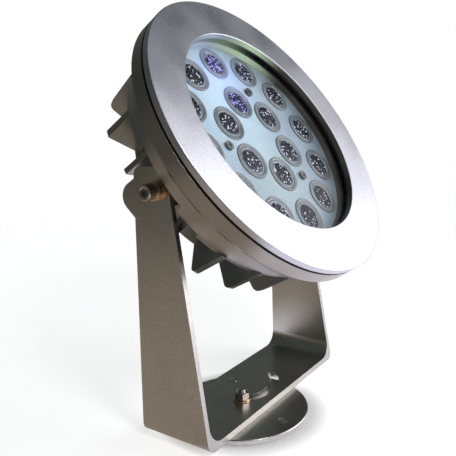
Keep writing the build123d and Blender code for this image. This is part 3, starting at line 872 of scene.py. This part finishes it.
def floor():
    """A wide pale floor under the base plate, which fades into the white background."""
    half = FLOOR_HALF
    mesh = bpy.data.meshes.new("floor")
    corners = [(-half, -half, 0), (half, -half, 0), (half, half, 0), (-half, half, 0)]
    mesh.from_pydata(corners, [], [(0, 1, 2, 3)])
    obj = bpy.data.objects.new("floor", mesh)
    bpy.context.scene.collection.objects.link(obj)
    material, tree, shader = plain("pale floor", (0.88, 0.88, 0.88), 0.9, wear=0.01, relief=0.0)
    place = tree.nodes.new("ShaderNodeTexCoord").outputs["Object"]
    reach = vector_math(tree, "LENGTH", place).outputs["Value"]

    # To the camera, pale and shaded close to the foot
    shader.inputs["Specular IOR Level"].default_value = 0.0
    shader.inputs["Emission Color"].default_value = (1, 1, 1, 1)
    tree.links.new(map_range(tree, reach, SHADE_SPAN, SHADE_GLOW), shader.inputs["Emission Strength"])

    # To the metal, brighter on the lit side and dark under the foot
    room = tree.nodes.new("ShaderNodeEmission")
    tree.links.new(map_range(tree, reach, COVER_SPAN, COVER_GLOW), room.inputs["Strength"])
    along = vector_math(tree, "DOT_PRODUCT", place, toward(LIT_AZIMUTH, 0)).outputs["Value"]
    lit = map_range(tree, along, LIT_SPAN, smooth=True)
    tree.links.new(colour_ramp(tree, lit, (0.0, 1.0), (FLOOR_DIM, FLOOR_LIT)), room.inputs["Color"])
    path = tree.nodes.new("ShaderNodeLightPath")
    seen = tree.nodes.new("ShaderNodeMixShader")
    tree.links.new(path.outputs["Is Camera Ray"], seen.inputs["Fac"])
    tree.links.new(room.outputs["Emission"], seen.inputs[1])
    tree.links.new(shader.outputs["BSDF"], seen.inputs[2])

    # Far from the foot, nothing
    nothing = tree.nodes.new("ShaderNodeBsdfTransparent")
    blend = tree.nodes.new("ShaderNodeMixShader")
    tree.links.new(map_range(tree, reach, FLOOR_FADE, smooth=True), blend.inputs["Fac"])
    tree.links.new(seen.outputs["Shader"], blend.inputs[1])
    tree.links.new(nothing.outputs["BSDF"], blend.inputs[2])
    tree.links.new(blend.outputs["Shader"], tree.nodes["Material Output"].inputs["Surface"])
    mesh.materials.append(material)


def lamp(name, azimuth, elevation, distance, size, power):
    """An area light around the head, aimed at it."""
    data = bpy.data.lights.new(name, "AREA")
    data.shape = "RECTANGLE"
    data.size, data.size_y = size
    data.energy = power
    obj = bpy.data.objects.new(name, data)
    offset = toward(azimuth, elevation) * distance
    obj.location = FACE + offset
    obj.rotation_euler = (-offset).to_track_quat("-Z", "Y").to_euler()
    bpy.context.scene.collection.objects.link(obj)


def studio_world():
    """White to the camera; to the metal, a dark room with one broad soft window in front on the right."""
    world = bpy.data.worlds.new("studio")
    bpy.context.scene.world = world
    world.use_nodes = True
    tree = world.node_tree
    tree.nodes.clear()
    output = tree.nodes.new("ShaderNodeOutputWorld")
    seen = tree.nodes.new("ShaderNodeBackground")
    seen.inputs["Color"].default_value = (1, 1, 1, 1)
    lighting = tree.nodes.new("ShaderNodeBackground")
    direction = tree.nodes.new("ShaderNodeTexCoord")
    colour = tree.nodes.new("ShaderNodeRGB")
    colour.outputs["Color"].default_value = ROOM_COLOUR
    room = colour.outputs["Color"]
    for azimuth, elevation, core, edge, shade in ROOM:
        near = vector_math(tree, "DOT_PRODUCT", direction.outputs["Generated"], toward(azimuth, elevation))
        span = (cos(radians(edge)), cos(radians(core)))
        fade = map_range(tree, near.outputs["Value"], span, smooth=True)
        mix = tree.nodes.new("ShaderNodeMix")
        mix.data_type = "RGBA"
        mix.inputs["B"].default_value = (*shade, 1)
        tree.links.new(fade, mix.inputs["Factor"])
        tree.links.new(room, mix.inputs["A"])
        room = mix.outputs["Result"]
    tree.links.new(room, lighting.inputs["Color"])
    path = tree.nodes.new("ShaderNodeLightPath")
    mix = tree.nodes.new("ShaderNodeMixShader")
    tree.links.new(path.outputs["Is Camera Ray"], mix.inputs["Fac"])
    tree.links.new(lighting.outputs["Background"], mix.inputs[1])
    tree.links.new(seen.outputs["Background"], mix.inputs[2])
    tree.links.new(mix.outputs["Shader"], output.inputs["Surface"])


def photo_camera():
    """The camera where the photograph was taken from."""
    data = bpy.data.cameras.new("camera")
    data.sensor_width = 36.0
    data.lens = 47.71
    data.shift_y = -0.15
    data.clip_start = 0.01
    obj = bpy.data.objects.new("camera", data)
    obj.location = (-0.2802, -0.1913, 0.1764)
    turn = Matrix.Rotation(radians(-54.96), 4, "Z")
    nod = Matrix.Rotation(radians(90 - 5.01), 4, "X")
    roll = Matrix.Rotation(radians(-1.53), 4, "Z")
    obj.rotation_euler = (turn @ nod @ roll).to_euler()
    bpy.context.scene.collection.objects.link(obj)
    bpy.context.scene.camera = obj


floor()
studio_world()
lamp("fill", azimuth=-112, elevation=38, distance=1.0, size=(0.25, 0.25), power=3.0)
photo_camera()
bpy.context.scene.view_settings.view_transform = "Standard"
